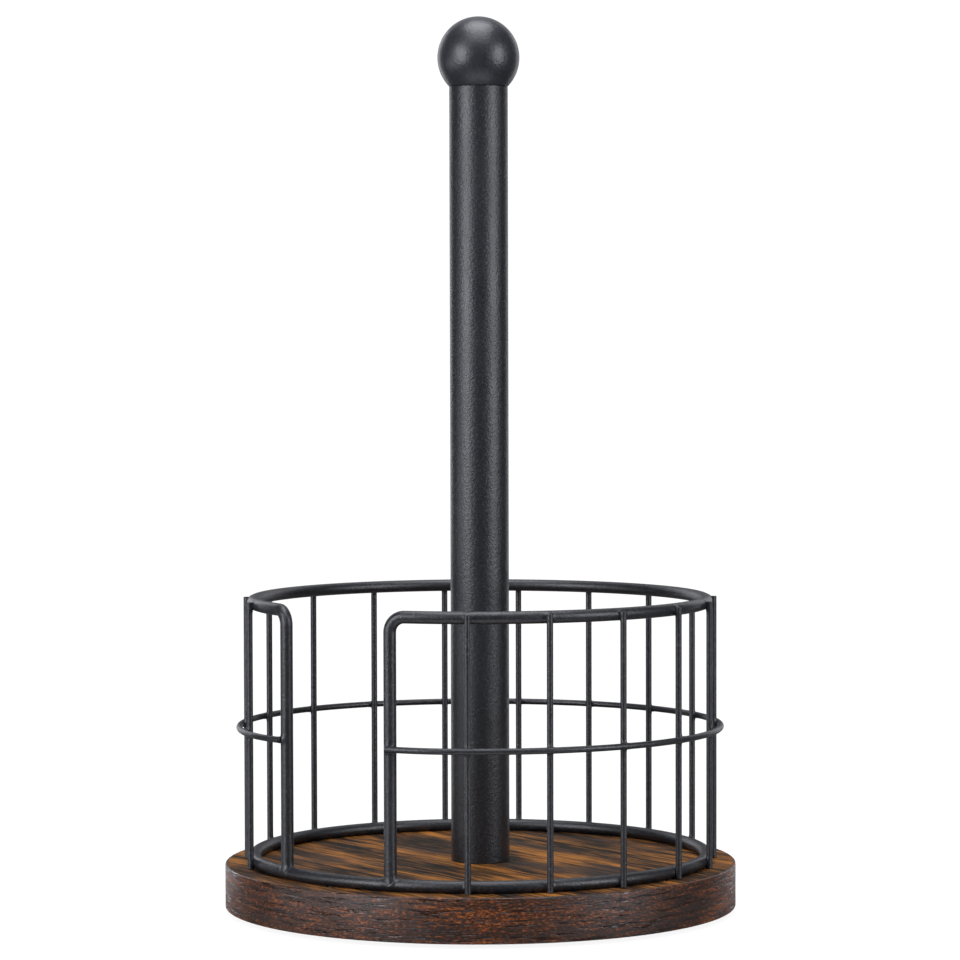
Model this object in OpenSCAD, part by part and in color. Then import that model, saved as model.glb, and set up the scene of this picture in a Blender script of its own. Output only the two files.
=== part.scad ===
// Countertop paper towel holder: a round board, a bolted centre pole with a screw-on ball
// finial, and a round wire cage with an open front for pulling off a sheet.
// Millimetres. +Z is up. The origin is under the centre of the board, level with the
// surface that the pads stand on. -Y is the front.

/* [Board] */
// Diameter of the board, over its edge band
board_d = 175; // [168:1:200]
// Thickness of the board, with its top and backing sheets
board_t = 15; // [14:0.5:20]
// Thickness of the printed top sheet and of the backing sheet
sheet_t = 0.4; // [0.2:0.1:0.8]
// Thickness of the edge band
band_t = 0.8; // [0.4:0.1:2]
// Chamfer on the two outer edges of the edge band
band_chamfer = 0.5; // [0.2:0.1:0.6]

/* [Pads] */
// Number of anti-slip pads
pad_count = 4; // [3:1:6]
// Diameter of a pad
pad_d = 16; // [10:1:18]
// Height of a pad
pad_t = 1.5; // [1:0.5:4]
// Gap from the edge of the board to a pad
pad_inset = 11; // [10:1:20]

/* [Pole] */
// Outside diameter of the pole
pole_d = 20; // [18:1:24]
// Wall of the pole
pole_wall = 1; // [0.8:0.1:2]
// Length of the pole, from the board to the finial
pole_len = 265; // [240:5:320]
// Chamfer on the rim of the pole
pole_chamfer = 0.3; // [0.2:0.1:0.5]
// Length of the threaded plug in each end of the pole
plug_len = 16; // [14:1:24]
// Depth of the upper plug below the rim of the pole
plug_drop = 0.5; // [0.2:0.1:2]

/* [Finial] */
// Diameter of the ball
ball_d = 28; // [24:1:36]
// Diameter of the threaded stud
stud_d = 8; // [6:1:10]
// Rise of the stud thread in one turn
stud_pitch = 1.25; // [1:0.25:1.5]
// Whole turns of the stud in the upper plug
stud_turns = 8; // [5:1:9]
// Length of the stud inside the ball
stud_in_ball = 11; // [8:1:14]
// Radial clearance of the stud in its threaded holes
thread_gap = 0.05; // [0.02:0.01:0.1]

/* [Cage] */
// Diameter of the heavy rings, through the middle of the wire
cage_d = 155; // [150:1:158]
// Heavy wire diameter, with its powder coat
heavy_d = 4.2; // [3.6:0.2:5]
// Light wire diameter, with its powder coat
light_d = 2.1; // [1.8:0.1:2.6]
// Height of the cage, from the board to the top of the top hoop
cage_h = 91.5; // [70:0.5:120]
// Height of the middle hoop above the board, through the middle of the wire
middle_h = 46.6; // [30:0.2:60]
// Number of upright wires
upright_count = 16; // [8:1:24]
// Angle of the open front, between the two end posts
gap_angle = 33.5; // [25:0.5:60]
// Where the middle of the open front is, from +X towards +Y
gap_middle = -128.5; // [-180:0.5:180]
// Bend radius of the top hoop's ends, through the middle of the wire
bend_r = 5; // [4:0.5:10]
// How deep two wires sink into each other where they are welded
weld_sink = 0.15; // [0.1:0.05:0.3]

/* [Fasteners] */
// Diameter of the pole bolt
bolt_d = 8; // [6:1:10]
// Length of the pole bolt under its head
bolt_len = 25; // [20:1:30]
// Diameter of the pole bolt's button head
bolt_head_d = 14; // [12:1:18]
// Height of the pole bolt's button head
bolt_head_h = 4.4; // [3:0.2:5]
// Across flats of the pole bolt's hexagon socket
bolt_socket = 5; // [4:1:6]
// Outside diameter of the pole washer
pole_washer_d = 24; // [20:1:30]
// Thickness of the pole washer
pole_washer_t = 1.6; // [1:0.2:2.5]
// Depth of the counterbore under the pole
pole_cbore_depth = 7; // [6:0.5:8]
// Number of cage studs
cage_stud_count = 4; // [3:1:6]
// Diameter of a cage stud
cage_stud_d = 4; // [3:0.5:5]
// Across flats of a cage nut
cage_nut_af = 7; // [6:0.5:8]
// Height of a cage nut
cage_nut_h = 3.2; // [2.4:0.2:4]
// Outside diameter of a cage washer
cage_washer_d = 9; // [8:0.5:11]
// Thickness of a cage washer
cage_washer_t = 0.8; // [0.5:0.1:1]
// Depth of a counterbore under the cage
cage_cbore_depth = 6; // [5.5:0.5:7]

/* [Hidden] */
$fn = 96;

function upright_name(i) = str("upright_wire_", i < 10 ? "0" : "", i);
function pad_name(i) = str("pad_", i);

// Colours
wood_brown = "#6b4326";
core_tan = "#b08d62";
coat_black = "#2b2c2e";
zinc_grey = "#b9bcc0";
pad_black = "#1d1d1e";

// How far a cutter passes through the face that it cuts
cut = 1;
// Gap all round a fastener in its plain hole
hole_gap = 0.25;
// Gap in the ball beyond the end of the finial stud
end_gap = 0.5;

// Board heights
board_low = pad_t;
board_top = board_low + board_t;
core_low = board_low + sheet_t;
core_top = board_top - sheet_t;
core_d = board_d - 2 * band_t;

// Cage sizes
cage_r = cage_d / 2;
heavy_r = heavy_d / 2;
light_r = light_d / 2;
upright_r = cage_r + heavy_r + light_r - weld_sink;
middle_r = upright_r + light_d - weld_sink;
ring_z = board_top + heavy_r;
hoop_z = board_top + cage_h - heavy_r;
middle_z = board_top + middle_h;
// The uprights stop a little short of the top of the hoop
upright_top = hoop_z + heavy_r * 0.5;

// Angles round the cage, from +X towards +Y
gap_from = gap_middle - gap_angle / 2;
gap_to = gap_middle + gap_angle / 2;
upright_step = (360 - gap_angle) / (upright_count + 1);
// Angle that one bent end of the top hoop takes up
bend_angle = atan(bend_r / cage_r);
post_r = norm([cage_r, bend_r]);
// A hoop's shaped ends are this much thicker in radius than its arc, so that all of it
// joins into one clean solid
end_step = 0.02;
post_wire_r = heavy_r + end_step;
// The end posts are coped over the bottom ring from this height
post_foot = ring_z + heavy_r * 0.6;

// Each end of the middle hoop curves in, to this radius, to lie on its post
post_touch_r = post_r + post_wire_r + light_r - weld_sink;
// Radius of that curve, and how far its centre is from the pole's axis
end_r = 52;
end_shift = middle_r - end_r;
// Turn of the end curve at a given distance from the pole axis, and the angle that it covers
function end_turn(r) = acos((r * r - end_shift * end_shift - end_r * end_r) / (2 * end_shift * end_r));
function end_cover(turn) = atan2(end_r * sin(turn), end_shift + end_r * cos(turn));
post_turn = end_turn(post_touch_r);
// The end on the +X side laps this far past the line where it touches its post
end_lap = 0.4;
lap_turn = asin(end_lap / end_r);

// Pole and finial heights
pole_top = board_top + pole_len;
upper_plug_top = pole_top - plug_drop;
ball_r = ball_d / 2;
ball_z = pole_top + sqrt(ball_r * ball_r - pole_d * pole_d / 4);
stud_low = upper_plug_top - stud_turns * stud_pitch;
stud_top = pole_top + stud_in_ball;
stud_r = stud_d / 2 - thread_gap;

// Fastener heights and places
pole_cbore_top = board_low + pole_cbore_depth;
bolt_head_top = pole_cbore_top - pole_washer_t;
cage_cbore_top = board_low + cage_cbore_depth;
cage_nut_top = cage_cbore_top - cage_washer_t;
cage_stud_low = cage_nut_top - cage_nut_h - 1;
// A cage stud ends inside the lower part of the ring's wire, which it is coped to
cage_stud_top = ring_z - heavy_r * 0.6;
pole_cbore_d = pole_washer_d + 2;
cage_cbore_d = cage_washer_d + 3;
pad_place_r = board_d / 2 - pad_inset - pad_d / 2;

// ---- Shapes that repeat ----

// A rod between two heights
module rod(d, low, high) {
    translate([0, 0, low]) cylinder(d = d, h = high - low);
}

// A flat ring between two heights
module washer(outer_d, hole_d, low, high) {
    difference() {
        rod(outer_d, low, high);
        rod(hole_d, low - cut, high + cut);
    }
}

// A threaded rod drawn at its outside diameter, with a lead-in chamfer at both ends
module threaded_rod(d, low, high) {
    c = d / 10;
    rotate_extrude() polygon([
        [0, low], [d / 2 - c, low], [d / 2, low + c],
        [d / 2, high - c], [d / 2 - c, high], [0, high]
    ]);
}

// A wire bent to a round ring, or to the first part of one, from angle 0
module wire_ring(ring_r, wire_r, z, span = 360) {
    translate([0, 0, z]) rotate_extrude(angle = span) translate([ring_r, 0]) circle(wire_r);
}

// A wire ring with one stretch left out, between the angles where its two ends are. Each end
// is cut square in that end's own frame, so that whatever carries on from it meets it exactly.
module open_ring(ring_r, wire_r, z, first_end, last_end) {
    reach = 2 * ring_r;
    difference() {
        wire_ring(ring_r, wire_r, z);
        intersection() {
            rotate([0, 0, last_end]) translate([0, 0, z - wire_r - cut])
                cube([reach, reach, 2 * (wire_r + cut)]);
            rotate([0, 0, first_end]) translate([0, -reach, z - wire_r - cut])
                cube([reach, reach, 2 * (wire_r + cut)]);
        }
    }
}

// Children at each cage stud
module at_cage_studs() {
    for (i = [0 : cage_stud_count - 1])
        rotate([0, 0, gap_middle + i * 360 / cage_stud_count])
            translate([cage_r, 0, 0]) children();
}

// The holes for the pole bolt and the cage studs, through everything in the board
module board_holes() {
    rod(bolt_d + 2 * hole_gap, board_low - cut, board_top + cut);
    rod(pole_cbore_d, board_low - cut, pole_cbore_top);
    at_cage_studs() {
        rod(cage_stud_d + 2 * hole_gap, board_low - cut, board_top + cut);
        rod(cage_cbore_d, board_low - cut, cage_cbore_top);
    }
}

// A threaded plug in the pole, which fills the tube's bore
module plug(low, thread_d) {
    washer(pole_d - 2 * pole_wall, thread_d, low, low + plug_len);
}

// ---- Board ----

module board_core() {
    color(core_tan) difference() {
        rod(core_d, core_low, core_top);
        board_holes();
    }
}

module top_sheet() {
    color(wood_brown) difference() {
        rod(core_d, core_top, board_top);
        board_holes();
    }
}

module backing_sheet() {
    color(wood_brown) difference() {
        rod(core_d, board_low, core_low);
        board_holes();
    }
}

module edge_band() {
    outer = board_d / 2;
    inner = core_d / 2;
    c = band_chamfer;
    color(wood_brown) rotate_extrude() polygon([
        [inner, board_low], [outer - c, board_low], [outer, board_low + c],
        [outer, board_top - c], [outer - c, board_top], [inner, board_top]
    ]);
}

module pad(i) {
    between_studs = 180 / cage_stud_count;
    color(pad_black) rotate([0, 0, gap_middle + between_studs + (i - 1) * 360 / pad_count])
        translate([pad_place_r, 0, 0]) rod(pad_d, 0, pad_t);
}

// ---- Pole ----

module pole_tube() {
    outer = pole_d / 2;
    inner = outer - pole_wall;
    c = pole_chamfer;
    color(coat_black) rotate_extrude() polygon([
        [inner, board_top], [outer - c, board_top], [outer, board_top + c],
        [outer, pole_top - c], [outer - c, pole_top], [inner, pole_top]
    ]);
}

module pole_lower_plug() {
    color(zinc_grey) plug(board_top, bolt_d);
}

module pole_upper_plug() {
    color(zinc_grey) plug(upper_plug_top - plug_len, stud_d);
}

module pole_washer() {
    color(zinc_grey) washer(pole_washer_d, bolt_d + 2 * hole_gap, bolt_head_top, pole_cbore_top);
}

// Button head with a hexagon socket, and a shank up into the lower plug
module pole_bolt() {
    head_low = bolt_head_top - bolt_head_h;
    crown_d = bolt_head_d * 0.62;
    color(zinc_grey) difference() {
        union() {
            threaded_rod(bolt_d, bolt_head_top - bolt_head_h / 2, bolt_head_top + bolt_len);
            rod(bolt_head_d, bolt_head_top - 1, bolt_head_top);
            translate([0, 0, head_low])
                cylinder(d1 = crown_d, d2 = bolt_head_d, h = bolt_head_h - 1);
        }
        translate([0, 0, head_low - cut])
            cylinder(d = bolt_socket / cos(30), h = cut + bolt_head_h * 0.6, $fn = 6);
    }
}

// ---- Finial ----

module finial_stud() {
    color(zinc_grey) threaded_rod(2 * stud_r, stud_low, stud_top);
}

// A ball with a flat seat that matches the pole, and a blind threaded hole up into it
module finial_ball() {
    seat_r = pole_d / 2 - pole_chamfer;
    color(coat_black) difference() {
        intersection() {
            translate([0, 0, ball_z]) sphere(ball_r);
            translate([0, 0, pole_top]) cylinder(r1 = seat_r, r2 = seat_r + ball_d, h = ball_d);
        }
        rod(stud_d, pole_top - cut, stud_top + end_gap);
    }
}

// ---- Cage ----

module cage_bottom_ring() {
    color(coat_black) wire_ring(cage_r, heavy_r, ring_z);
}

// One bent end of the top hoop and its post, placed where the hoop's arc ends at angle 0
module hoop_end() {
    translate([cage_r, 0, hoop_z - bend_r]) rotate([90, 0, 90])
        rotate_extrude(angle = 90) translate([bend_r, 0]) circle(post_wire_r);
    translate([cage_r, bend_r, 0]) rod(2 * post_wire_r, post_foot, hoop_z - bend_r);
}

// A hoop with both ends bent down into posts that stand on the bottom ring
module cage_top_hoop() {
    first_end = gap_to + bend_angle;
    last_end = gap_from - bend_angle;
    color(coat_black) difference() {
        union() {
            open_ring(cage_r, heavy_r, hoop_z, first_end, last_end);
            rotate([0, 0, last_end]) hoop_end();
            rotate([0, 0, first_end]) mirror([0, 1, 0]) hoop_end();
        }
        wire_ring(cage_r, heavy_r, ring_z);
    }
}

// One end of the middle hoop, curving in from angle 0 to lie on a post
module middle_end(turn) {
    translate([end_shift, 0, 0]) wire_ring(end_r, light_r + end_step, middle_z, turn);
}

module cage_middle_hoop() {
    first_end = gap_to + end_cover(post_turn);
    last_end = gap_from - end_cover(post_turn);
    color(coat_black) difference() {
        union() {
            open_ring(middle_r, light_r, middle_z, first_end, last_end);
            rotate([0, 0, last_end]) middle_end(post_turn);
            rotate([0, 0, first_end]) mirror([0, 1, 0]) middle_end(post_turn + lap_turn);
        }
        for (angle = [gap_from, gap_to])
            rotate([0, 0, angle]) translate([post_r, 0, 0])
                rod(2 * post_wire_r, ring_z, hoop_z - bend_r);
    }
}

// An upright is notched where the three rings are welded to it
module upright_wire(i) {
    color(coat_black) difference() {
        rotate([0, 0, gap_to + i * upright_step])
            translate([upright_r, 0, 0]) rod(light_d, board_top + 0.2, upright_top);
        wire_ring(cage_r, heavy_r, ring_z);
        wire_ring(cage_r, heavy_r, hoop_z);
        wire_ring(middle_r, light_r, middle_z);
    }
}

// The studs are coped to the underside of the ring that they are welded to
module cage_studs() {
    color(zinc_grey) difference() {
        at_cage_studs() rod(cage_stud_d, cage_stud_low, cage_stud_top);
        wire_ring(cage_r, heavy_r, ring_z);
    }
}

module cage_washers() {
    color(zinc_grey) at_cage_studs()
        washer(cage_washer_d, cage_stud_d + 2 * hole_gap, cage_nut_top, cage_cbore_top);
}

module cage_nuts() {
    color(zinc_grey) at_cage_studs() difference() {
        translate([0, 0, cage_nut_top - cage_nut_h])
            cylinder(d = cage_nut_af / cos(30), h = cage_nut_h, $fn = 6);
        rod(cage_stud_d, cage_nut_top - cage_nut_h - cut, cage_nut_top + cut);
    }
}

board_core();
top_sheet();
backing_sheet();
edge_band();
for (i = [1 : pad_count]) pad(i);
pole_tube();
pole_lower_plug();
pole_bolt();
pole_washer();
pole_upper_plug();
finial_stud();
finial_ball();
cage_bottom_ring();
cage_top_hoop();
cage_middle_hoop();
for (i = [1 : upright_count]) upright_wire(i);
cage_studs();
cage_washers();
cage_nuts();
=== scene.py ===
import math

import bpy
import numpy as np
from mathutils import Matrix, Vector
from mathutils.kdtree import KDTree


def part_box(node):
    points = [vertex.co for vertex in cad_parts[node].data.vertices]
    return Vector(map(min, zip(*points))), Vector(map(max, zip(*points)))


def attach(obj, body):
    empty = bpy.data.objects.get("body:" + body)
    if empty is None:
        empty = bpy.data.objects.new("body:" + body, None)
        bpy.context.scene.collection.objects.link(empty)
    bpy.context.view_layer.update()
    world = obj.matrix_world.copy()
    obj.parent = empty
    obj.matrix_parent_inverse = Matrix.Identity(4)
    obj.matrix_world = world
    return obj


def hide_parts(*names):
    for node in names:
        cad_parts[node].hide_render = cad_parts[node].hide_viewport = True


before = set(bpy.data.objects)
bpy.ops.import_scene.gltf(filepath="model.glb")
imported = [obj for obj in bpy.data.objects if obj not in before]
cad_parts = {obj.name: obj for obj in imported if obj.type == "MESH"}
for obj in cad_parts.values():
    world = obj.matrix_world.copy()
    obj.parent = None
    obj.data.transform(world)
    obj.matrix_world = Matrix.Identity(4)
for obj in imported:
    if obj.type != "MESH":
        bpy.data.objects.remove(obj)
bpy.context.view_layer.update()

# A countertop paper towel holder: a round board with a printed wood foil, a powder-coated
# tube with a screw-on ball, and a powder-coated wire cage with an open front.
# Metres, +Z up, -Y to the front. Sizes that the frame doesn't give are in millimetres.
MM = 0.001
TURN = 2 * math.pi
UP = np.array([0.0, 0.0, 1.0])
# A length that counts as nothing
TINY = 1e-9
# The M8 thread of the pole's screw and of the finial's stud
M8_R = 4 * MM
M8_PITCH = 1.25 * MM


# ---- Sizes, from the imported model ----

def node_size(node):
    low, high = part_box(node)
    return high - low


def node_middle(node):
    low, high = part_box(node)
    return (low + high) / 2


def node_angle(node):
    middle = node_middle(node)
    return math.atan2(middle.y, middle.x)


# Board
board_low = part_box("edge_band")[0].z
board_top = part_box("edge_band")[1].z
board_r = node_size("edge_band").x / 2
core_r = node_size("top_sheet").x / 2

# Pole and finial
pole_r = node_size("pole_tube").x / 2
pole_bore_r = node_size("pole_upper_plug").x / 2
pole_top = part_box("pole_tube")[1].z
ball_r = node_size("finial_ball").x / 2
ball_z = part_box("finial_ball")[1].z - ball_r
stud_r = node_size("finial_stud").x / 2

# Cage: radius of each wire, and where its middle line runs
heavy_r = node_size("cage_bottom_ring").z / 2
cage_r = node_size("cage_bottom_ring").x / 2 - heavy_r
ring_z = node_middle("cage_bottom_ring").z
hoop_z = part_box("cage_top_hoop")[1].z - heavy_r
middle_z = node_middle("cage_middle_hoop").z
upright_nodes = sorted(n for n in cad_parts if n.startswith("upright_wire"))
light_r = node_size(upright_nodes[0]).x / 2
upright_r = node_middle(upright_nodes[0]).xy.length
upright_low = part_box(upright_nodes[0])[0].z
upright_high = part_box(upright_nodes[0])[1].z
upright_angles = np.unwrap([node_angle(n) for n in upright_nodes])
upright_step = (upright_angles[-1] - upright_angles[0]) / (len(upright_angles) - 1)

# The open front is between the two end posts, one step before the first upright and one
# step after the last
gap_to = upright_angles[0] - upright_step
gap_from = upright_angles[-1] + upright_step
# Bend radius of the top hoop's ends, and how far two wires sink into each other at a weld
bend_r = 5 * MM
weld_sink = 0.15 * MM
# The middle hoop's radius, the posts' distance from the pole's axis, and the angle round
# the cage that a bend takes up
middle_r = upright_r + 2 * light_r - weld_sink
post_r = math.hypot(cage_r, bend_r)
bend_angle = math.atan2(bend_r, cage_r)
# Each end of the middle hoop curves in, at this radius, to lie on its post, and the end on
# the right laps this far past the line where it touches
end_r = 52 * MM
end_lap = 0.4 * MM


# ---- Mesh helpers ----

def skin(rows, loop=False):
    """Points and faces between rings of points. A ring of one point closes an end."""
    points, starts, faces = [], [], []
    for row in rows:
        starts.append(len(points))
        points.extend(tuple(p) for p in row)
    pairs = [(i, i + 1) for i in range(len(rows) - 1)]
    if loop:
        pairs.append((len(rows) - 1, 0))
    for a, b in pairs:
        count = max(len(rows[a]), len(rows[b]))
        for j in range(count):
            k = (j + 1) % count
            if len(rows[a]) == 1:
                faces.append((starts[a], starts[b] + k, starts[b] + j))
            elif len(rows[b]) == 1:
                faces.append((starts[a] + j, starts[a] + k, starts[b]))
            else:
                faces.append((starts[a] + j, starts[a] + k, starts[b] + k, starts[b] + j))
    return points, faces


def merge(parts, places=((0, 0, 0),)):
    """One set of points and faces from several, or from copies of them at several places."""
    points, faces = [], []
    for place in places:
        for part_points, part_faces in parts:
            first = len(points)
            points.extend(tuple(np.add(p, place)) for p in part_points)
            faces.extend(tuple(first + i for i in face) for face in part_faces)
    return points, faces


def piece(name, shape, material, nodes, body="holder", sharp=40):
    """A visible piece from its points and faces, which stands for CAD nodes."""
    points, faces = shape
    mesh = bpy.data.meshes.new(name)
    mesh.from_pydata(points, [], faces)
    mesh.polygons.foreach_set("use_smooth", [True] * len(faces))
    mesh.set_sharp_from_angle(angle=math.radians(sharp))
    mesh.materials.append(material)
    obj = bpy.data.objects.new(name, mesh)
    bpy.context.scene.collection.objects.link(obj)
    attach(obj, body)
    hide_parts(*nodes)
    return obj


def rounded(corners, steps=5):
    """A profile of (radius, height) through corners given as (radius, height, rounding)."""
    profile = []
    for i, (r, z, fillet) in enumerate(corners):
        here = np.array([r, z])
        if fillet == 0:
            profile.append(here)
            continue
        before = np.array(corners[i - 1][:2]) - here
        after = np.array(corners[(i + 1) % len(corners)][:2]) - here
        before = before / np.linalg.norm(before)
        after = after / np.linalg.norm(after)
        half = math.acos(np.clip(before @ after, -1, 1)) / 2
        reach = fillet / math.tan(half)
        bisector = (before + after) / np.linalg.norm(before + after)
        centre = here + bisector * fillet / math.sin(half)
        start, end = here + before * reach, here + after * reach
        first = math.atan2(*(start - centre)[::-1])
        sweep = math.atan2(*(end - centre)[::-1]) - first
        sweep = (sweep + math.pi) % TURN - math.pi
        for step in range(steps + 1):
            turn = first + sweep * step / steps
            profile.append(centre + fillet * np.array([math.cos(turn), math.sin(turn)]))
    return profile


def circle(radius, z, angles):
    """A ring of points. radius is one number, or one for each angle."""
    if np.isscalar(radius) and radius < TINY:
        return [(0.0, 0.0, z)]
    flat = np.ones(len(angles))
    return np.stack([radius * np.cos(angles), radius * np.sin(angles), z * flat], axis=1)


def full_turn(sides):
    """Evenly spaced angles once round."""
    return np.arange(sides) * TURN / sides


def lathe(profile, sides=96, loop=False):
    """A turned shape. Its profile of (radius, height) runs up the outside and, where the
    shape is hollow, closes down the inside."""
    angles = full_turn(sides)
    return skin([circle(r, z, angles) for r, z in profile], loop)


# A thread's depth, the slope of its flanks and the flat of its crests, as shares of its
# pitch, and how many rings of points make one turn of it
THREAD_DEPTH = 0.61
FLANK_SLOPE = 2.4
CREST_FLAT = 0.1
RINGS_A_TURN = 10


def thread(radius, pitch, low, high, sides):
    """Rings of points up a right-hand thread, with a chamfer at both ends."""
    angles = full_turn(sides)
    depth = THREAD_DEPTH * pitch
    rows = []
    for z in np.arange(low, high, pitch / RINGS_A_TURN):
        phase = (z / pitch - angles / TURN) % 1
        flank = np.clip(np.abs(phase - 0.5) * FLANK_SLOPE - CREST_FLAT, 0, 1)
        chamfer = min(z - low, high - z)
        reach = np.minimum(radius - depth * flank, radius - depth + chamfer)
        rows.append(circle(reach, z, angles))
    rows.append(circle(radius - depth, high, angles))
    return rows


def hexagon(across, angles):
    """Radius of a hexagon at each angle, from its size across the flats."""
    side = TURN / 6
    return across / 2 / np.cos((angles % side) - side / 2)


# ---- Wires ----

def wire_frame(angle):
    """The directions outward and along the ring, at an angle round the cage."""
    out = np.array([math.cos(angle), math.sin(angle), 0.0])
    along = np.array([-math.sin(angle), math.cos(angle), 0.0])
    return out, along


def arc(centre_shift, radius, z, base, turns):
    """Stations on a level arc: (place, direction, outward). Its centre is shifted from the
    pole's axis towards the base angle."""
    shift = wire_frame(base)[0] * centre_shift
    stations = []
    for turn in turns:
        out, along = wire_frame(base + turn)
        stations.append((shift + out * radius + UP * z, along, out))
    return stations


def post(base, side, heights):
    """Stations up a post that the hoop's end, at the base angle, bends down into. side is
    -1 for the end where the hoop starts and 1 for the end where it stops."""
    out, along = wire_frame(base)
    foot = out * cage_r + along * bend_r * side
    return [(foot + UP * z, UP * -side, out) for z in heights]


def bend(base, side, turns):
    """Stations round a hoop end's bend. turn 0 is level, on the hoop."""
    out, along = wire_frame(base)
    centre = out * cage_r + UP * (hoop_z - bend_r)
    stations = []
    for turn in turns:
        place = centre + bend_r * (along * side * math.sin(turn) + UP * math.cos(turn))
        direction = along * math.cos(turn) - UP * side * math.sin(turn)
        stations.append((place, direction, out))
    return stations


# Stations closer together than this share of the fine spacing are merged
MERGE_SHARE = 0.45


def spread(start, end, coarse, fine, crossings, reach):
    """Values from start to end, coarse along the clear run and fine near each crossing."""
    values = [np.linspace(start, end, max(2, round(abs(end - start) / coarse) + 1))]
    for crossing in crossings:
        near = np.arange(crossing - reach, crossing + reach + fine / 2, fine)
        values.append(near[(near > min(start, end)) & (near < max(start, end))])
    merged = np.unique(np.concatenate(values))
    keep = np.concatenate([[True], np.diff(merged) > fine * MERGE_SHARE])
    keep[-1] = True
    merged = merged[keep]
    return merged if end > start else merged[::-1]


# Spacing of the stations on a clear run and near a weld, how far from a weld they are
# close, and how many there are round a bend
RUN = 2.0 * MM
NEAR_WELD = 0.3 * MM
WELD_REACH = 4.5 * MM
BEND_STATIONS = 17
# How far above the bottom ring's middle line a post ends inside it, as a share of its radius
POST_END = 0.3
post_angles = [gap_from, gap_to]
ring_step = (RUN / cage_r, NEAR_WELD / cage_r)
ring_reach = WELD_REACH / cage_r


def bottom_ring_line():
    """A closed ring, with its stations close together at every wire that is welded to it."""
    crossings = list(upright_angles) + [a % TURN for a in post_angles]
    crossings = [gap_to + (a - gap_to) % TURN for a in crossings] + [gap_to + TURN]
    turns = spread(gap_to, gap_to + TURN, *ring_step, crossings, ring_reach)[:-1]
    return arc(0, cage_r, ring_z, 0, turns)


def top_hoop_line():
    """Up the post on the right of the open front, round the cage, and down the other post."""
    first, last = gap_to + bend_angle, gap_from - bend_angle
    low, high = ring_z + POST_END * heavy_r, hoop_z - bend_r
    heights = spread(low, high, RUN, NEAR_WELD, [ring_z + heavy_r, middle_z], WELD_REACH)
    quarter = np.linspace(0, math.pi / 2, BEND_STATIONS)
    turns = spread(first, last, *ring_step, upright_angles, ring_reach)
    line = post(first, -1, heights)
    line += bend(first, -1, quarter[:0:-1])
    line += arc(0, cage_r, hoop_z, 0, turns)
    line += bend(last, 1, quarter[1:])
    line += post(last, 1, heights[::-1])
    return line


def middle_hoop_line():
    """Each end leaves the big arc on a smaller one, which meets it smoothly and curves in to
    touch the outside of its post."""
    shift = middle_r - end_r
    touch_r = post_r + heavy_r + light_r - weld_sink
    touch = math.acos((touch_r ** 2 - shift ** 2 - end_r ** 2) / (2 * shift * end_r))
    cover = math.atan2(end_r * math.sin(touch), shift + end_r * math.cos(touch))
    lap = math.asin(end_lap / end_r)
    first, last = gap_to + cover, gap_from - cover
    near = (RUN / end_r, NEAR_WELD / end_r)
    reach = WELD_REACH / end_r
    line = arc(shift, end_r, middle_z, first, spread(-touch - lap, 0, *near, [-touch], reach))
    line += arc(0, middle_r, middle_z, 0,
                spread(first, last, *ring_step, upright_angles, ring_reach)[1:-1])
    line += arc(shift, end_r, middle_z, last, spread(0, touch, *near, [touch], reach))
    return line


def upright_line(angle):
    """A straight wire outside the bottom ring and the top hoop, and inside the middle hoop."""
    out, along = wire_frame(angle)
    heights = spread(upright_low, upright_high, RUN, NEAR_WELD,
                     [ring_z, middle_z, hoop_z], WELD_REACH)
    return [(out * upright_r + UP * z, UP, out) for z in heights]


wires = {
    "bottom_ring": (bottom_ring_line(), heavy_r),
    "top_hoop": (top_hoop_line(), heavy_r),
    "middle_hoop": (middle_hoop_line(), light_r),
}
for number, angle in enumerate(upright_angles, 1):
    wires[f"upright_{number:02d}"] = (upright_line(angle), light_r)


def other_wires(name):
    """A search tree of places on every other wire's middle line, and the radius at each."""
    places, radii = [], []
    for other, (line, radius) in wires.items():
        if other == name:
            continue
        centres = np.array([station[0] for station in line])
        middles = (centres[1:] + centres[:-1]) / 2
        places.extend(centres)
        places.extend(middles)
        radii.extend([radius] * (len(centres) + len(middles)))
    tree = KDTree(len(places))
    for index, place in enumerate(places):
        tree.insert(place, index)
    tree.balance()
    return tree, radii


# The coat thickens where another wire's surface is nearer than FILL. Inside the other wire
# it comes back to its own size over a depth of FADE.
FILL = 1.5 * MM
FADE = 0.5 * MM
# How far the coat rounds off the edge of a cut end, as a share of the wire's radius
END_ROUNDING = 0.45


def coated_wire(name, sides, loop=False):
    """A drawn wire with its powder coat, which bridges the corners at its welds."""
    line, radius = wires[name]
    tree, radii = other_wires(name)
    angles = full_turn(sides)
    rows = []
    for place, direction, out in line:
        aside = np.cross(direction, out)
        normals = np.outer(np.cos(angles), out) + np.outer(np.sin(angles), aside)
        ring = place + radius * normals
        for j, point in enumerate(ring):
            _, index, distance = tree.find(point)
            gap = distance - radii[index]
            if gap < FILL:
                # A quarter of FILL at the corner itself, and less and less away from it
                fill = (FILL - max(gap, 0)) ** 2 / (4 * FILL)
                fill *= np.clip(1 + gap / FADE, 0, 1)
                ring[j] = point + normals[j] * fill
        rows.append(ring)
    if not loop:
        first_end = wire_end(line[0], radius, angles, -1)
        last_end = wire_end(line[-1], radius, angles, 1)
        rows = first_end + rows + last_end
    return skin(rows, loop)


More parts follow.
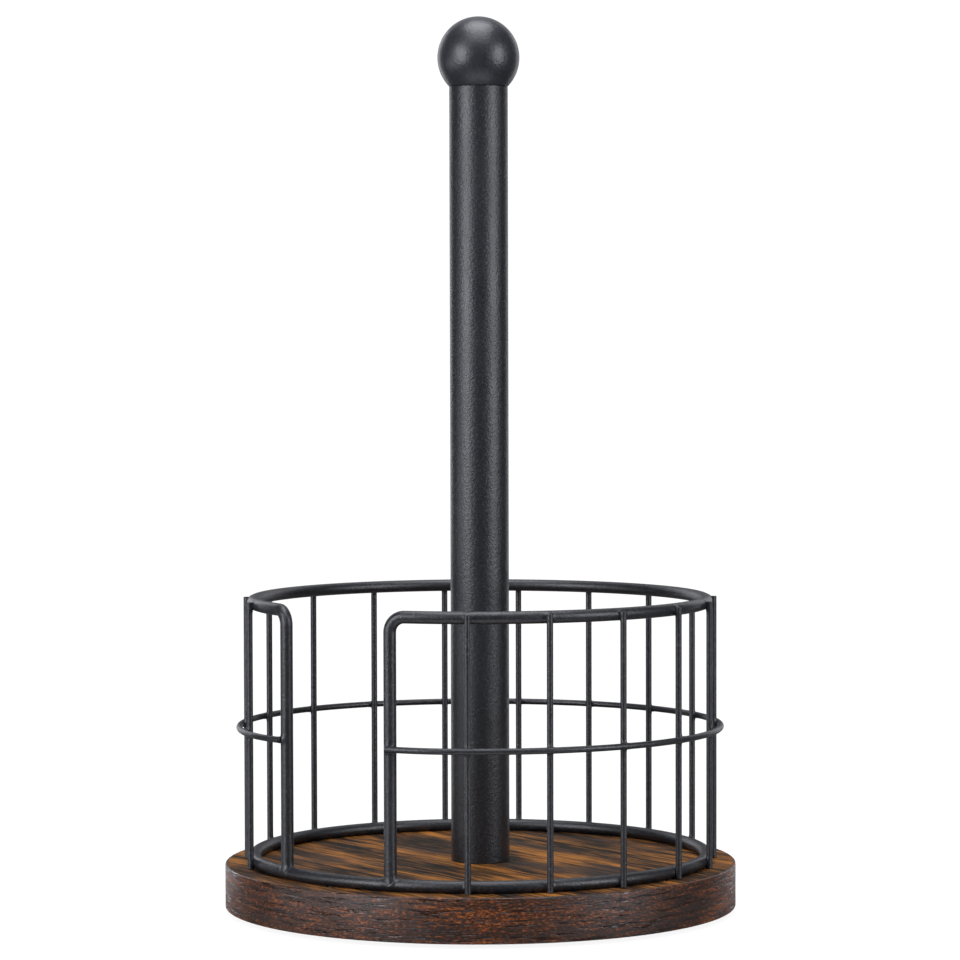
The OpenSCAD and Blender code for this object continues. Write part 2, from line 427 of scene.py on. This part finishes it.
def wire_end(station, radius, angles, side):
    """A cut end whose edge the coat rounds off. side is -1 at the start of the wire."""
    place, direction, out = station
    aside = np.cross(direction, out)
    edge = END_ROUNDING * radius
    normals = np.outer(np.cos(angles), out) + np.outer(np.sin(angles), aside)
    rows = []
    for turn in np.linspace(0, math.pi / 2, 6)[1:]:
        level = place + direction * side * edge * (math.sin(turn) - 1)
        rows.append(level + normals * (radius - edge * (1 - math.cos(turn))))
    rows.append([place])
    return rows[::-1] if side < 0 else rows


# ---- Materials ----

def colour(hex_value):
    """Linear colour from an sRGB hex value."""
    channels = [int(hex_value[i:i + 2], 16) / 255 for i in (1, 3, 5)]
    linear = [c / 12.92 if c <= 0.04045 else ((c + 0.055) / 1.055) ** 2.4 for c in channels]
    return (*linear, 1.0)


def new_material(name):
    """An empty node material, with its tree and its surface shader."""
    material = bpy.data.materials.new(name)
    material.use_nodes = True
    tree = material.node_tree
    shader = tree.nodes["Principled BSDF"]
    return material, tree, shader


def add(tree, kind, settings=None, **inputs):
    """Adds a node. settings are its properties, and stops are a colour ramp's pairs of place
    and hex colour. inputs are values, or sockets to link from, and a name such as in_2 means
    input number 2."""
    node = tree.nodes.new(kind)
    for key, value in (settings or {}).items():
        if key == "stops":
            ramp = node.color_ramp
            while len(ramp.elements) < len(value):
                ramp.elements.new(0.5)
            for element, (place, hex_value) in zip(ramp.elements, value):
                element.position = place
                element.color = colour(hex_value)
        else:
            setattr(node, key, value)
    for key, value in inputs.items():
        index = int(key[3:]) if key.startswith("in_") else key.replace("_", " ")
        socket = node.inputs[index]
        if isinstance(value, bpy.types.NodeSocket):
            tree.links.new(value, socket)
        else:
            socket.default_value = value
    return node


def per_metre(size_mm):
    """Texture scale at which one feature is this many millimetres wide."""
    return 1000 / size_mm


def black_coat(name, tones, roughness, grit_bump):
    """A black coat on steel: a fine grit over a soft orange peel, so broad soft highlights
    carry a faint sparkle and no edge of a reflection is sharp."""
    grit_mm, peel_mm, cloud_mm = 0.9, 2.6, 16
    material, tree, shader = new_material(name)
    place = add(tree, "ShaderNodeTexCoord").outputs["Object"]
    grit = add(tree, "ShaderNodeTexNoise", Vector=place, Scale=per_metre(grit_mm),
               Detail=3.0, Roughness=0.6)
    peel = add(tree, "ShaderNodeTexNoise", Vector=place, Scale=per_metre(peel_mm), Detail=1.0)
    cloud = add(tree, "ShaderNodeTexNoise", Vector=place, Scale=per_metre(cloud_mm),
                Detail=3.0)
    tone = add(tree, "ShaderNodeValToRGB", {"stops": tones}, Fac=grit.outputs["Fac"])
    tree.links.new(tone.outputs["Color"], shader.inputs["Base Color"])
    gloss = add(tree, "ShaderNodeMapRange", Value=cloud.outputs["Fac"], From_Min=0.35,
                From_Max=0.65, To_Min=roughness - 0.025, To_Max=roughness + 0.03)
    tree.links.new(gloss.outputs["Result"], shader.inputs["Roughness"])
    soft = add(tree, "ShaderNodeBump", Height=peel.outputs["Fac"], Strength=0.30,
               Distance=0.08 * MM)
    rough = add(tree, "ShaderNodeBump", Height=grit.outputs["Fac"], Strength=grit_bump,
                Distance=0.14 * MM, Normal=soft.outputs["Normal"])
    tree.links.new(rough.outputs["Normal"], shader.inputs["Normal"])
    return material


# Polyester powder coat, sprayed dry and baked: satin black with a fine sandy grit. The grit
# is drawn at 0.9 mm, coarser than the real 0.1 mm, so that it shows.
powder_coat = black_coat(
    "powder_coat_satin_black",
    [(0.30, "#0b0c0e"), (0.52, "#131418"), (0.72, "#25272c")],
    roughness=0.41, grit_bump=1.0)
# The ball has the same coat laid on smoother, over a turned ball with no welds, so its
# highlights are a little tighter
ball_coat = black_coat(
    "powder_coat_smooth_black",
    [(0.30, "#191a1e"), (0.52, "#1f2025"), (0.72, "#26272d")],
    roughness=0.36, grit_bump=0.75)


def wood_print(name, place, tones, ash, grain_mm, shares, emboss, roughness, specular, seed):
    """Rustic wood-grain foil: printed paper under a satin melamine face, embossed with short
    pores that are darker and a little glossier than the face round them. place gives x along
    the grain and y across it, in metres. grain_mm is each layer's length and width."""
    material, tree, shader = new_material(name)
    fields = place(tree)
    # Detail, roughness and distortion of each layer of the print, and a shift that keeps
    # the layers from lining up
    grain = {}
    for layer, detail, rough, twist, shift in (
            ("patch", 3.0, 0.55, 0.6, 1.7), ("streak", 5.0, 0.68, 0.8, 5.3),
            ("fleck", 3.0, 0.6, 0.3, 9.1), ("pore", 2.0, 0.5, 0.2, 12.4),
            ("ash", 2.0, 0.5, 0.5, 21.9)):
        along, across = (per_metre(size) for size in grain_mm[layer])
        stretched = add(tree, "ShaderNodeMapping", Vector=fields,
                        Location=(seed + shift, 3 * shift, seed),
                        Scale=(along, across, across))
        grain[layer] = add(tree, "ShaderNodeTexNoise", Vector=stretched.outputs["Vector"],
                           Scale=1.0, Detail=detail, Roughness=rough,
                           Distortion=twist).outputs["Fac"]

    # Patches, streaks and flecks together choose the tone
    streaks = add(tree, "ShaderNodeMath", {"operation": "MULTIPLY"},
                  in_0=grain["streak"], in_1=shares["streak"])
    patches = add(tree, "ShaderNodeMath", {"operation": "MULTIPLY_ADD"},
                  in_0=grain["patch"], in_1=shares["patch"], in_2=streaks.outputs[0])
    flecks = add(tree, "ShaderNodeMath", {"operation": "MULTIPLY_ADD"},
                 in_0=grain["fleck"], in_1=shares["fleck"], in_2=patches.outputs[0])
    stretch = add(tree, "ShaderNodeMapRange", Value=flecks.outputs[0], From_Min=0.64,
                  From_Max=0.94)
    tone = add(tree, "ShaderNodeValToRGB", {"stops": tones}, Fac=stretch.outputs["Result"])
    # Smoky grey patches, then dark pores, are printed over them
    ash_colour, most_ash = ash
    ash_share = add(tree, "ShaderNodeMapRange", Value=grain["ash"], From_Min=0.50,
                    From_Max=0.66, To_Min=0.0, To_Max=most_ash)
    ashed = add(tree, "ShaderNodeMix", {"data_type": "RGBA", "blend_type": "MIX"},
                in_0=ash_share.outputs["Result"], in_6=tone.outputs["Color"],
                in_7=colour(ash_colour))
    pore_share = add(tree, "ShaderNodeMapRange", Value=grain["pore"], From_Min=0.55,
                     From_Max=0.62, To_Min=0.0, To_Max=0.65)
    darkest = tones[0][1]
    pored = add(tree, "ShaderNodeMix", {"data_type": "RGBA", "blend_type": "MIX"},
                in_0=pore_share.outputs["Result"], in_6=ashed.outputs[2],
                in_7=colour(darkest))
    tree.links.new(pored.outputs[2], shader.inputs["Base Color"])

    gloss = add(tree, "ShaderNodeMapRange", Value=grain["streak"], From_Min=0.3, From_Max=0.7,
                To_Min=roughness + 0.06, To_Max=roughness - 0.05)
    glossed = add(tree, "ShaderNodeMath", {"operation": "MULTIPLY_ADD"},
                  in_0=pore_share.outputs["Result"], in_1=-0.34, in_2=gloss.outputs["Result"])
    tree.links.new(glossed.outputs[0], shader.inputs["Roughness"])
    pressed = add(tree, "ShaderNodeMath", {"operation": "MULTIPLY_ADD"},
                  in_0=grain["fleck"], in_1=0.5, in_2=pore_share.outputs["Result"])
    bump = add(tree, "ShaderNodeBump", {"invert": True}, Height=pressed.outputs[0],
               Strength=emboss, Distance=0.16 * MM)
    tree.links.new(bump.outputs["Normal"], shader.inputs["Normal"])
    shader.inputs["Specular IOR Level"].default_value = specular
    return material


def flat_grain(tree):
    """Grain that runs straight across the board, turned from its X axis."""
    grain_turn = math.radians(54)
    place = add(tree, "ShaderNodeTexCoord").outputs["Object"]
    return add(tree, "ShaderNodeMapping", Vector=place,
               Rotation=(0, 0, grain_turn)).outputs["Vector"]


def band_grain(tree):
    """Grain that runs round the edge band, from its unrolled length and width."""
    return add(tree, "ShaderNodeTexCoord").outputs["UV"]


# The top is printed in long streaks, under a nearly matt face. The band is darker and
# redder, in short flecks, under a satin face whose pores catch the light.
top_print = wood_print(
    "melamine_foil_rustic_brown", flat_grain,
    tones=[(0.0, "#100c09"), (0.25, "#211a13"), (0.45, "#493019"), (0.65, "#764c20"),
           (1.0, "#a0672c")],
    ash=("#312a26", 0.65),
    grain_mm={"patch": (60, 18), "streak": (46, 2.2), "fleck": (15, 0.95),
              "pore": (18, 0.9), "ash": (60, 14)},
    shares={"patch": 0.55, "streak": 0.62, "fleck": 0.42},
    emboss=0.6, roughness=0.62, specular=0.08, seed=4.0)
band_print = wood_print(
    "melamine_edge_band_rustic_brown", band_grain,
    tones=[(0.0, "#0f0703"), (0.28, "#1d0e05"), (0.5, "#371a07"), (0.72, "#55290b"),
           (1.0, "#82481b")],
    ash=("#221813", 0.5),
    grain_mm={"patch": (50, 8), "streak": (8, 1.1), "fleck": (1.3, 0.6),
              "pore": (13, 1.1), "ash": (45, 6)},
    shares={"patch": 0.30, "streak": 0.55, "fleck": 0.72},
    emboss=1.0, roughness=0.42, specular=0.40, seed=11.0)


def fibreboard():
    """Raw medium-density fibreboard, pressed from wood dust and then bored: pale brown,
    matt, with fine felted fibres."""
    material, tree, shader = new_material("fibreboard_raw")
    place = add(tree, "ShaderNodeTexCoord").outputs["Object"]
    fibre = add(tree, "ShaderNodeTexNoise", Vector=place, Scale=per_metre(0.7), Detail=4.0)
    tones = [(0.3, "#8b6b47"), (0.55, "#a88760"), (0.8, "#bfa07a")]
    tone = add(tree, "ShaderNodeValToRGB", {"stops": tones}, Fac=fibre.outputs["Fac"])
    tree.links.new(tone.outputs["Color"], shader.inputs["Base Color"])
    bump = add(tree, "ShaderNodeBump", Height=fibre.outputs["Fac"], Strength=0.5,
               Distance=0.15 * MM)
    tree.links.new(bump.outputs["Normal"], shader.inputs["Normal"])
    shader.inputs["Roughness"].default_value = 0.9
    return material


def backing_foil():
    """Brown balancing foil under the board: plain matt paper with faint long fibres."""
    material, tree, shader = new_material("melamine_backing_foil")
    place = add(tree, "ShaderNodeTexCoord").outputs["Object"]
    stretched = add(tree, "ShaderNodeMapping", Vector=place,
                    Scale=(per_metre(18), per_metre(0.9), per_metre(0.9)))
    fibre = add(tree, "ShaderNodeTexNoise", Vector=stretched.outputs["Vector"], Scale=1.0,
                Detail=4.0, Roughness=0.6)
    tones = [(0.3, "#3a2a20"), (0.55, "#4a3629"), (0.75, "#5b4434")]
    tone = add(tree, "ShaderNodeValToRGB", {"stops": tones}, Fac=fibre.outputs["Fac"])
    tree.links.new(tone.outputs["Color"], shader.inputs["Base Color"])
    bump = add(tree, "ShaderNodeBump", Height=fibre.outputs["Fac"], Strength=0.3,
               Distance=0.05 * MM)
    tree.links.new(bump.outputs["Normal"], shader.inputs["Normal"])
    shader.inputs["Roughness"].default_value = 0.62
    return material


def zinc_plate():
    """Zinc-plated steel, turned or rolled and then barrel plated: bright bluish grey with
    a soft mottle and tiny scuffs from the barrel."""
    material, tree, shader = new_material("steel_zinc_plated")
    place = add(tree, "ShaderNodeTexCoord").outputs["Object"]
    mottle = add(tree, "ShaderNodeTexNoise", Vector=place, Scale=per_metre(2.5), Detail=4.0)
    tones = [(0.3, "#a9adb3"), (0.6, "#c6c9cd"), (0.8, "#d6d4cf")]
    tone = add(tree, "ShaderNodeValToRGB", {"stops": tones}, Fac=mottle.outputs["Fac"])
    tree.links.new(tone.outputs["Color"], shader.inputs["Base Color"])
    gloss = add(tree, "ShaderNodeMapRange", Value=mottle.outputs["Fac"], From_Min=0.3,
                From_Max=0.7, To_Min=0.24, To_Max=0.38)
    tree.links.new(gloss.outputs["Result"], shader.inputs["Roughness"])
    scuffs = add(tree, "ShaderNodeTexNoise", Vector=place, Scale=per_metre(0.5), Detail=2.0)
    bump = add(tree, "ShaderNodeBump", Height=scuffs.outputs["Fac"], Strength=0.2,
               Distance=0.03 * MM)
    tree.links.new(bump.outputs["Normal"], shader.inputs["Normal"])
    shader.inputs["Metallic"].default_value = 1.0
    return material


def foam_pad():
    """Closed-cell EVA foam, die-cut from sheet: matt black with fine round cells."""
    material, tree, shader = new_material("eva_foam_black")
    place = add(tree, "ShaderNodeTexCoord").outputs["Object"]
    cells = add(tree, "ShaderNodeTexVoronoi", Vector=place, Scale=per_metre(0.6))
    tones = [(0.0, "#101011"), (0.4, "#1f1f20"), (0.9, "#2c2c2d")]
    tone = add(tree, "ShaderNodeValToRGB", {"stops": tones}, Fac=cells.outputs["Distance"])
    tree.links.new(tone.outputs["Color"], shader.inputs["Base Color"])
    bump = add(tree, "ShaderNodeBump", Height=cells.outputs["Distance"], Strength=0.6,
               Distance=0.15 * MM)
    tree.links.new(bump.outputs["Normal"], shader.inputs["Normal"])
    shader.inputs["Roughness"].default_value = 0.88
    return material


core_board = fibreboard()
backing = backing_foil()
zinc = zinc_plate()
foam = foam_pad()


def dress(node, material):
    """Gives a CAD node that stays its material."""
    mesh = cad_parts[node].data
    mesh.materials.clear()
    mesh.materials.append(material)


# ---- Board ----

dress("board_core", core_board)
dress("top_sheet", top_print)
dress("backing_sheet", backing)


def edge_band():
    """A band bent round the board, its edges eased by scraping, with a butt joint at the
    back. It is unrolled from that joint, so the grain breaks there."""
    eased = 0.5 * MM
    joint_angle = math.radians(97)
    joint_width, joint_depth = 0.16 * MM, 0.12 * MM
    profile = rounded([
        (core_r, board_low, 0), (board_r, board_low, eased),
        (board_r, board_top, eased), (core_r, board_top, 0)], 6)
    sides = 320
    # Close points on both sides of the joint make it a narrow groove
    near = np.array([-1.0, -0.5, 0.5, 1.0]) * joint_width / board_r
    turns = np.concatenate([[0.0], near[2:], full_turn(sides)[1:], TURN + near[:2]])
    angles = joint_angle + turns
    lowered = np.zeros(len(turns))
    lowered[0] = joint_depth
    rows = []
    for r, z in profile:
        outside = r > core_r + TINY
        rows.append(circle(r - lowered * outside, z, angles))
    shape = skin(rows, True)
    band = piece("board_edge_band", shape, band_print, ["edge_band"])
    # Length round the board and width over the profile, in metres, for the grain
    steps = [0] + [float(np.linalg.norm(b - a)) for a, b in zip(profile, profile[1:])]
    widths = np.cumsum(steps)
    count = len(turns)
    layer = band.data.uv_layers.new(name="unrolled")
    for face in band.data.polygons:
        for corner in face.loop_indices:
            vertex = band.data.loops[corner].vertex_index
            row, j = divmod(vertex, count)
            wraps = j == 0 and any(band.data.loops[c].vertex_index % count == count - 1
                                   for c in face.loop_indices)
            turn = TURN if wraps else turns[j]
            layer.data[corner].uv = (turn * board_r, widths[row])


edge_band()


def pads():
    """Die-cut pads: the edge that stands on the table has worn round."""
    worn, cut = 0.35 * MM, 0.1 * MM
    for number in range(1, 5):
        node = f"pad_{number}"
        low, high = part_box(node)
        middle = node_middle(node)
        radius = node_size(node).x / 2
        profile = rounded([
            (0, low.z, 0), (radius, low.z, worn), (radius, high.z, cut), (0, high.z, 0)])
        shape = merge([lathe(profile, 64)], [(middle.x, middle.y, 0)])
        piece(f"foam_pad_{number}", shape, foam, [node])


pads()


# ---- Pole ----

def pole():
    """The tube, its rims eased by the coat, and the turned plug in each of its ends."""
    rim = 0.3 * MM
    profile = rounded([
        (pole_bore_r, board_top, rim / 2), (pole_r, board_top, rim),
        (pole_r, pole_top, rim), (pole_bore_r, pole_top, rim / 2)])
    piece("pole", lathe(profile, 128, True), powder_coat, ["pole_tube"])

    lead = 0.8 * MM
    for node, name in (("pole_lower_plug", "plug_lower"), ("pole_upper_plug", "plug_upper")):
        low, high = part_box(node)
        corners = [
            (M8_R + lead, low.z, 0), (pole_bore_r - lead / 2, low.z, 0),
            (pole_bore_r, low.z + lead / 2, 0), (pole_bore_r, high.z - lead / 2, 0),
            (pole_bore_r - lead / 2, high.z, 0), (M8_R + lead, high.z, 0),
            (M8_R, high.z - lead, 0), (M8_R, low.z + lead, 0)]
        piece(name, lathe(rounded(corners), 96, True), zinc, [node], sharp=25)


pole()


def pole_bolt():
    """Button-head socket screw that pulls the pole down from under the board."""
    low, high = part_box("pole_bolt")
    head_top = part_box("pole_washer")[0].z
    head_r = node_size("pole_bolt").x / 2
    socket, socket_depth = 5 * MM, 2.7 * MM
    socket_lead, lead_depth = 0.5 * MM, 0.25 * MM
    flat_r = head_r * 0.52
    rim_height, rim_easing, undercut = 0.9 * MM, 0.15 * MM, 0.2 * MM
    angles = full_turn(72)
    rows = [
        circle(0, low.z + socket_depth, angles),
        circle(hexagon(socket, angles), low.z + socket_depth, angles),
        circle(hexagon(socket, angles), low.z + lead_depth, angles),
        circle(hexagon(socket + socket_lead, angles), low.z, angles),
        circle(flat_r, low.z, angles)]
    rise = head_top - low.z - rim_height
    for turn in np.linspace(0, math.pi / 2, 10)[1:]:
        rows.append(circle(flat_r + (head_r - flat_r) * math.sin(turn),
                           low.z + rise * (1 - math.cos(turn)), angles))
    rows.append(circle(head_r, head_top - rim_easing, angles))
    rows.append(circle(head_r - rim_easing, head_top, angles))
    rows.append(circle(M8_R - undercut, head_top, angles))
    rows.extend(thread(M8_R, M8_PITCH, head_top + M8_PITCH, high.z, 72))
    rows.append(circle(0, high.z, angles))
    piece("pole_screw", skin(rows), zinc, ["pole_bolt"], sharp=30)


def flat_washer(outer_r, hole_r, low, high):
    """Profile of a stamped washer: the press rolls over the edges of its lower face."""
    rolled_outside, rolled_inside, sharp = 0.3 * MM, 0.12 * MM, 0.08 * MM
    return rounded([
        (hole_r, low, rolled_inside), (outer_r, low, rolled_outside),
        (outer_r, high, sharp), (hole_r, high, sharp)], 3)


pole_bolt()
washer_low, washer_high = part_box("pole_washer")
washer_hole_r = 4.25 * MM
piece("pole_screw_washer",
      lathe(flat_washer(washer_high.x, washer_hole_r, washer_low.z, washer_high.z), 96, True),
      zinc, ["pole_washer"])


# ---- Finial ----

def finial():
    """A turned ball on a flat seat, with a tapped hole up into it, and its stud."""
    stud_low, stud_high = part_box("finial_stud")
    hole_top = stud_high.z + 0.5 * MM
    hole_lead = 0.8 * MM
    # The seat is a little smaller than the tube, and its edge is eased twice before the
    # ball's curve starts, which leaves a dark seam
    seat_r = pole_r - 0.3 * MM
    ball_start_r, ball_start_z = seat_r + 0.12 * MM, pole_top + 0.25 * MM
    first = math.atan2(ball_start_z - ball_z, ball_start_r)
    profile = [(0, hole_top), (M8_R * 0.9, hole_top), (M8_R, hole_top - 0.4 * MM),
               (M8_R, pole_top + hole_lead), (M8_R + hole_lead, pole_top),
               (seat_r - 0.3 * MM, pole_top), (seat_r, pole_top + 0.08 * MM)]
    for turn in np.linspace(first, math.pi / 2, 64):
        profile.append((ball_r * math.cos(turn), ball_z + ball_r * math.sin(turn)))
    piece("finial_ball_turned", lathe(profile, 128), ball_coat,
          ["finial_ball"], "finial")
    angles = full_turn(64)
    rows = [circle(0, stud_low.z, angles)]
    rows += thread(stud_r, M8_PITCH, stud_low.z, stud_high.z, 64)
    rows.append(circle(0, stud_high.z, angles))
    piece("finial_stud_threaded", skin(rows), zinc, ["finial_stud"],
          "finial_lift", sharp=30)


finial()


# ---- Cage ----

piece("cage_ring", coated_wire("bottom_ring", 32, True), powder_coat,
      ["cage_bottom_ring"])
piece("cage_hoop", coated_wire("top_hoop", 32), powder_coat, ["cage_top_hoop"])
piece("cage_belt", coated_wire("middle_hoop", 24), powder_coat,
      ["cage_middle_hoop"])
for number, node in enumerate(upright_nodes, 1):
    name = f"upright_{number:02d}"
    piece(name, coated_wire(name, 24), powder_coat, [node])


# ---- Cage fasteners ----

def cage_fasteners():
    """Threaded studs under the bottom ring, each with a washer and a nut, in counterbores."""
    stud_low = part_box("cage_studs")[0].z
    washer_bottom, washer_top = (corner.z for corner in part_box("cage_washers"))
    nut_low, nut_high = (corner.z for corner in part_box("cage_nuts"))
    # The first is at the middle of the open front, and the others a quarter turn apart
    first = (gap_to + gap_from - TURN) / 2
    places = []
    for quarter in range(4):
        out, along = wire_frame(first + quarter * TURN / 4)
        places.append(out * cage_r)
    angles = full_turn(72)

    thread_r, pitch = 1.98 * MM, 0.7 * MM
    # Above the thread each stud is necked down where it is welded to the ring, and that
    # part shares the ring's coat
    neck_r, neck_slope = 0.9 * MM, 0.4 * MM
    neck_low, neck_high = board_top - 2 * MM, ring_z - 0.75 * heavy_r
    rows = [circle(0, stud_low, angles)]
    rows += thread(thread_r, pitch, stud_low, neck_low, 72)
    rows += [circle(neck_r, z, angles) for z in (neck_low + neck_slope, neck_high)]
    rows.append(circle(0, neck_high, angles))
    studs = piece("cage_studs_threaded", merge([skin(rows)], places), zinc,
                  ["cage_studs"], sharp=30)
    studs.data.materials.append(powder_coat)
    for face in studs.data.polygons:
        face.material_index = int(face.center.z > neck_low)

    washer = flat_washer(4.5 * MM, 2.25 * MM, washer_bottom, washer_top)
    piece("cage_washers_stamped", merge([lathe(washer, 64, True)], places), zinc,
          ["cage_washers"])

    # The nut's corners are cut back by a 30 degree chamfer on both faces
    across, hole_r, lead = 7 * MM, 2.0 * MM, 0.35 * MM
    flats = hexagon(across, angles)
    slope = math.tan(math.radians(30))
    chamfer = np.linspace(0, 0.5 * MM, 6)
    rows = [circle(hole_r + lead, nut_low, angles)]
    for rise in chamfer:
        cut_r = np.minimum(flats, across / 2 + rise / slope)
        rows.append(circle(cut_r, nut_low + rise, angles))
    for rise in chamfer[::-1]:
        cut_r = np.minimum(flats, across / 2 + rise / slope)
        rows.append(circle(cut_r, nut_high - rise, angles))
    rows.append(circle(hole_r + lead, nut_high, angles))
    rows.append(circle(hole_r, nut_high - lead, angles))
    rows.append(circle(hole_r, nut_low + lead, angles))
    piece("cage_nuts_chamfered", merge([skin(rows, True)], places), zinc,
          ["cage_nuts"], sharp=25)


cage_fasteners()


# ---- Floor, light and camera ----

def pale_floor():
    """A round pale floor that fades out into the white surround, and that is clear from
    below, so that the underside can be looked at."""
    floor_r = 1.6
    fade_from, fade_to = 0.14, 0.42
    rows = [circle(floor_r * share, 0.0, full_turn(96)) for share in (0, 0.25, 0.5, 1)]
    points, faces = skin(rows[::-1])
    mesh = bpy.data.meshes.new("floor")
    mesh.from_pydata(points, [], faces)
    obj = bpy.data.objects.new("floor", mesh)
    bpy.context.scene.collection.objects.link(obj)
    material, tree, shader = new_material("painted_floor_white")
    place = add(tree, "ShaderNodeTexCoord").outputs["Object"]
    distance = add(tree, "ShaderNodeVectorMath", {"operation": "LENGTH"}, in_0=place)
    fade = add(tree, "ShaderNodeMapRange", {"interpolation_type": "SMOOTHSTEP"},
               Value=distance.outputs["Value"], From_Min=fade_from, From_Max=fade_to,
               To_Min=0.86, To_Max=1.0)
    grain = add(tree, "ShaderNodeTexNoise", Vector=place, Scale=per_metre(40), Detail=2.0)
    tones = [(0.3, "#f4f4f4"), (0.7, "#fafafa")]
    tone = add(tree, "ShaderNodeValToRGB", {"stops": tones}, Fac=grain.outputs["Fac"])
    tree.links.new(tone.outputs["Color"], shader.inputs["Base Color"])
    shader.inputs["Roughness"].default_value = 0.8
    clear = add(tree, "ShaderNodeBsdfTransparent")
    behind = add(tree, "ShaderNodeNewGeometry").outputs["Backfacing"]
    gone = add(tree, "ShaderNodeMath", {"operation": "MAXIMUM"},
               in_0=fade.outputs["Result"], in_1=behind)
    mixed = add(tree, "ShaderNodeMixShader", in_0=gone.outputs[0],
                in_1=shader.outputs["BSDF"], in_2=clear.outputs["BSDF"])
    output = tree.nodes["Material Output"]
    tree.links.new(mixed.outputs["Shader"], output.inputs["Surface"])
    mesh.materials.append(material)


pale_floor()

scene = bpy.context.scene
scene.view_settings.view_transform = "Standard"


def surround():
    """White behind the object, and a dimmer white for what it lights and what reflects it."""
    world = bpy.data.worlds.new("white_surround")
    world.use_nodes = True
    tree = world.node_tree
    seen = add(tree, "ShaderNodeLightPath").outputs["Is Camera Ray"]
    strength = add(tree, "ShaderNodeMapRange", Value=seen, To_Min=0.10, To_Max=1.05)
    background = tree.nodes["Background"]
    background.inputs["Color"].default_value = (1, 1, 1, 1)
    tree.links.new(strength.outputs["Result"], background.inputs["Strength"])
    scene.world = world


surround()


# Where the softboxes aim, and their slightly cool daylight colour
LIT_PLACE = Vector((0, 0, 0.14))
DAYLIGHT = (0.97, 0.98, 1.05)


def softbox(name, azimuth, elevation, distance, size, power):
    """A rectangular softbox that faces the object. Azimuth 0 is in front, and 90 is on the
    right, in degrees. size is (width, height) in metres, and power is in watts."""
    light = bpy.data.lights.new(name, "AREA")
    light.shape = "RECTANGLE"
    light.size, light.size_y = size
    light.energy = power
    light.color = DAYLIGHT
    obj = bpy.data.objects.new(name, light)
    a, e = math.radians(azimuth), math.radians(elevation)
    back = Vector((math.sin(a) * math.cos(e), -math.cos(a) * math.cos(e), math.sin(e)))
    obj.location = LIT_PLACE + back * distance
    obj.visible_camera = False
    obj.rotation_euler = back.to_track_quat("Z", "Y").to_euler()
    scene.collection.objects.link(obj)


# The two front softboxes draw the bright bands down the left and right of the tube, and the
# ones at the back rim it. The rest fill in from above, below and behind.
for light_row in (
        ("softbox_left", -50, 13, 1.3, (0.62, 0.85), 16),
        ("softbox_low_left", -84, -6, 1.2, (0.45, 0.25), 1.5),
        ("softbox_right", 59, 12, 1.3, (0.55, 0.85), 12),
        ("softbox_top", 180, 87, 1.2, (0.8, 0.8), 14),
        ("softbox_back_left", -150, 8, 1.4, (0.5, 1.0), 3.4),
        ("softbox_back_right", 150, 8, 1.4, (0.5, 1.0), 2.2),
        ("backdrop_glow", 180, 34, 1.6, (1.6, 0.9), 3),
        ("bounce_card", 0, -60, 1.3, (1.6, 1.0), 7),
        ("fill_front", 0, 60, 1.4, (1.2, 0.5), 7)):
    softbox(*light_row)


def studio_camera():
    """A long lens a little above the middle of the object, tipped slightly down."""
    data = bpy.data.cameras.new("camera")
    data.sensor_width = 36
    data.lens = 142.52
    data.clip_end = 20
    camera = bpy.data.objects.new("camera", data)
    camera.location = (0.0081, -1.3, 0.2005)
    # Down, to the left and clockwise
    pitch, yaw, roll = math.radians(2.346), math.radians(0.349), math.radians(-0.15)
    tipped = Matrix.Rotation(yaw, 4, "Z") @ Matrix.Rotation(math.pi / 2 - pitch, 4, "X")
    camera.rotation_euler = (tipped @ Matrix.Rotation(roll, 4, "Z")).to_euler()
    scene.collection.objects.link(camera)
    scene.camera = camera


studio_camera()
